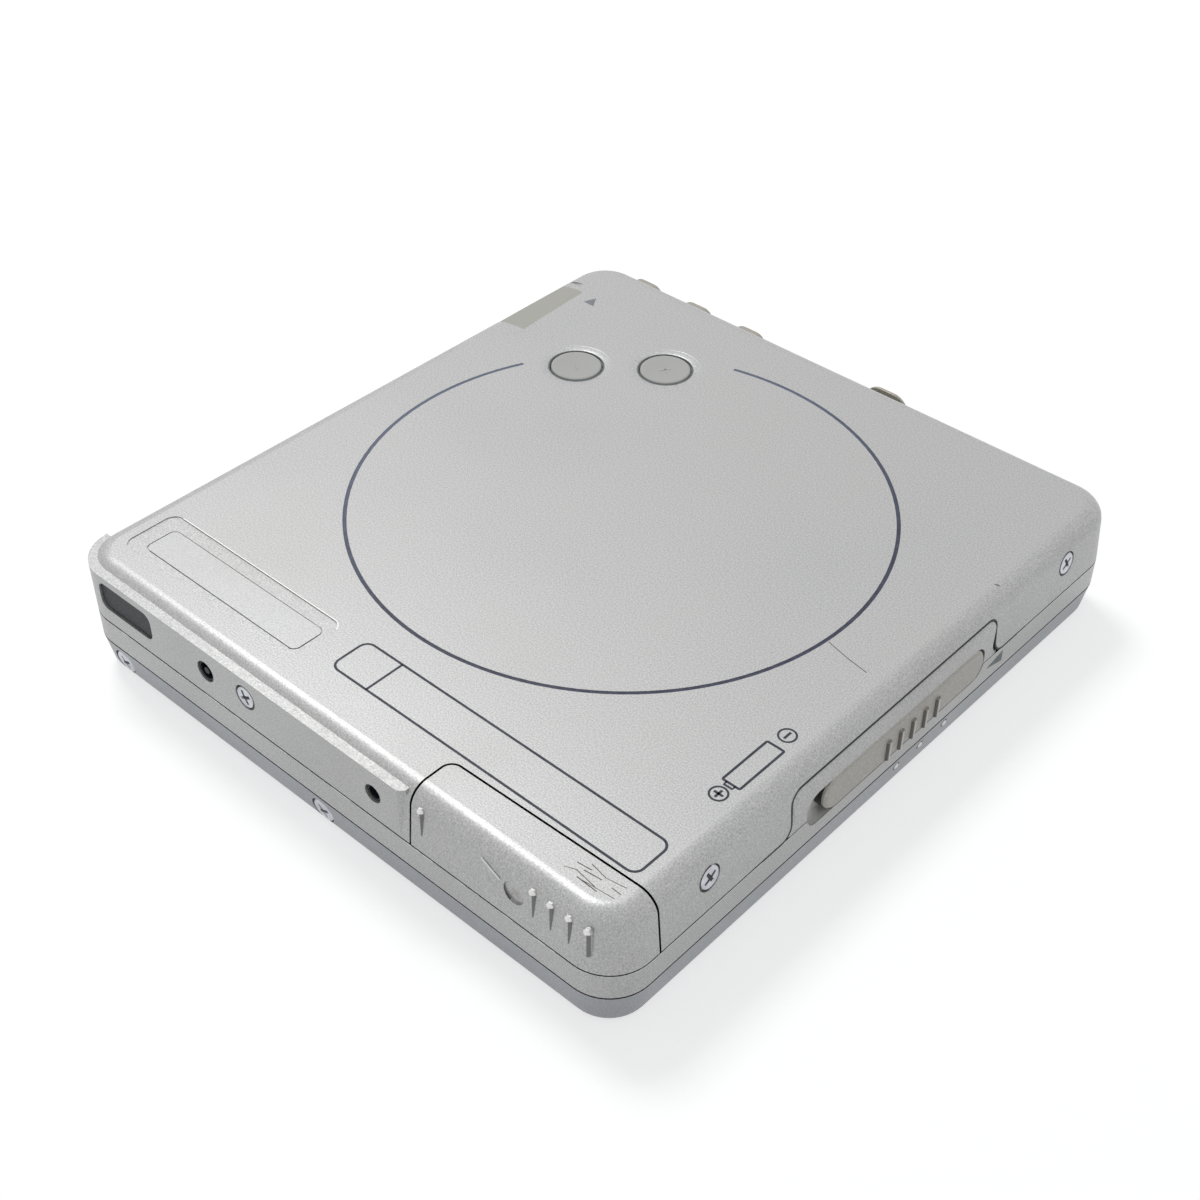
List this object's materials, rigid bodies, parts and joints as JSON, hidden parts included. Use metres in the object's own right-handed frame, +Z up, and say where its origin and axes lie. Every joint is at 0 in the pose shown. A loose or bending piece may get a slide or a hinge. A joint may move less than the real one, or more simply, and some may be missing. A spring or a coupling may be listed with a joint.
{
  "type": "portable minidisc player",
  "caption": "Pocket disc player lying on its lid, with a hinged lid, sliding battery door, open slider, side keys and a geared pickup sled.",
  "frame": {"origin": "centre of the lid's flat face, which rests on the table", "axes": "+Z up, out of the rear cover; -Y front side with the battery door; +X side with the open slider; +Y side with the keys and the jack"},
  "size_m": [0.0806, 0.0888, 0.0151],
  "materials": {
    "pearl_cover": "pearl silver paint, satin",
    "pearl_frame": "pearl silver paint, satin",
    "pearl_button": "lighter pearl paint, satin",
    "pressed_steel": "thin pressed sheet",
    "turned_steel": "ground and turned",
    "screw_steel": "nickel plated",
    "black_moulding": "black moulding",
    "board_green": "solder mask",
    "chip_black": "moulded packages",
    "contact_brass": "sprung contact strip",
    "gear_plastic": "natural acetal",
    "sled_alloy": "die cast",
    "lens_glass": "coated lens"
  },
  "bodies": {
    "lid": {"lid_cover": "pearl_frame", "lid_frame": "pressed_steel", "lid_screws": "screw_steel", "hinge_pins": "turned_steel"},
    "holder": {"cartridge_holder": "pressed_steel"},
    "case": {"rear_cover": "pearl_cover", "mid_frame": "pearl_frame", "mech_chassis": "pressed_steel", "chassis_screws": "screw_steel", "case_screws": "screw_steel", "main_board": "board_green", "board_parts": "chip_black", "volume_switches": "chip_black", "key_board": "board_green", "terminal_block": "black_moulding", "right_socket": "black_moulding", "jack_socket": "black_moulding", "battery_tub": "black_moulding", "battery_spring": "contact_brass", "key_collar": "pearl_frame", "spindle_motor": "pressed_steel", "guide_rods": "turned_steel", "sled_motor": "turned_steel"},
    "door": {"battery_door": "pearl_cover", "door_contact": "contact_brass"},
    "opener": {"open_slider": "pearl_frame", "latch_plate": "pressed_steel"},
    "hold": {"hold_slider": "pearl_frame"},
    "minus_button": {"volume_minus": "pearl_button"},
    "plus_button": {"volume_plus": "pearl_button"},
    "back_key": {"key_back": "pearl_button"},
    "forward_key": {"key_forward": "pearl_button"},
    "stop_key": {"key_stop": "pearl_button"},
    "play_key": {"key_play": "pearl_button"},
    "spindle": {"turntable": "black_moulding"},
    "sled": {"optical_pickup": "sled_alloy", "objective_lens": "lens_glass"},
    "screw": {"lead_screw": "turned_steel"},
    "idler": {"idler_gear": "gear_plastic"},
    "pinion": {"motor_pinion": "contact_brass"}
  },
  "joints": [
    {"name": "case_open", "type": "hinge", "parent": "lid", "child": "case", "pos_m": [-0.0386, 0, 0.00475], "axis": [0, -1, 0], "range_deg": [0, 28]},
    {"name": "holder_tilt", "type": "hinge", "parent": "lid", "child": "holder", "pos_m": [-0.0386, 0, 0.00475], "axis": [0, -1, 0], "range_deg": [0, 8.5]},
    {"name": "door_slide", "type": "slide", "parent": "case", "child": "door", "axis": [1, 0, 0], "range_m": [0, 0.0245]},
    {"name": "open_slide", "type": "slide", "parent": "case", "child": "opener", "axis": [0, -1, 0], "range_m": [0, 0.0027], "stiffness_N_per_m": 300},
    {"name": "hold_slide", "type": "slide", "parent": "case", "child": "hold", "axis": [0, -1, 0], "range_m": [0, 0.0024]},
    {"name": "minus_press", "type": "slide", "parent": "case", "child": "minus_button", "axis": [0, 0, -1], "range_m": [0, 0.0003], "stiffness_N_per_m": 300},
    {"name": "plus_press", "type": "slide", "parent": "case", "child": "plus_button", "axis": [0, 0, -1], "range_m": [0, 0.0003], "stiffness_N_per_m": 300},
    {"name": "back_press", "type": "slide", "parent": "case", "child": "back_key", "axis": [0, -1, 0], "range_m": [0, 0.0004], "stiffness_N_per_m": 300},
    {"name": "forward_press", "type": "slide", "parent": "case", "child": "forward_key", "axis": [0, -1, 0], "range_m": [0, 0.0004], "stiffness_N_per_m": 300},
    {"name": "stop_press", "type": "slide", "parent": "case", "child": "stop_key", "axis": [0, -1, 0], "range_m": [0, 0.0004], "stiffness_N_per_m": 300},
    {"name": "play_press", "type": "slide", "parent": "case", "child": "play_key", "axis": [0, -1, 0], "range_m": [0, 0.0004], "stiffness_N_per_m": 300},
    {"name": "disc_spin", "type": "hinge", "parent": "case", "child": "spindle", "pos_m": [-0.0013, 0.0038, 0.0065], "axis": [0, 0, 1], "continuous": true},
    {"name": "sled_travel", "type": "slide", "parent": "case", "child": "sled", "axis": [0, -1, 0], "range_m": [0, 0.015]},
    {"name": "screw_spin", "type": "hinge", "parent": "case", "child": "screw", "pos_m": [-0.016, -0.02, 0.00975], "axis": [0, 1, 0], "range_deg": [0, 3601]},
    {"name": "idler_spin", "type": "hinge", "parent": "case", "child": "idler", "pos_m": [-0.0188, -0.0355, 0.00975], "axis": [0, 1, 0], "range_deg": [-6482, 0]},
    {"name": "pinion_spin", "type": "hinge", "parent": "case", "child": "pinion", "pos_m": [-0.0216, -0.035, 0.00975], "axis": [0, 1, 0], "range_deg": [0, 11667]}
  ],
  "couplings": [
    {"joint": "holder_tilt", "follows": "case_open", "ratio": 0.3},
    {"joint": "screw_spin", "follows": "sled_travel", "rad_per_m": 4188.8},
    {"joint": "idler_spin", "follows": "sled_travel", "rad_per_m": -7539.8},
    {"joint": "pinion_spin", "follows": "sled_travel", "rad_per_m": 13572}
  ]
}
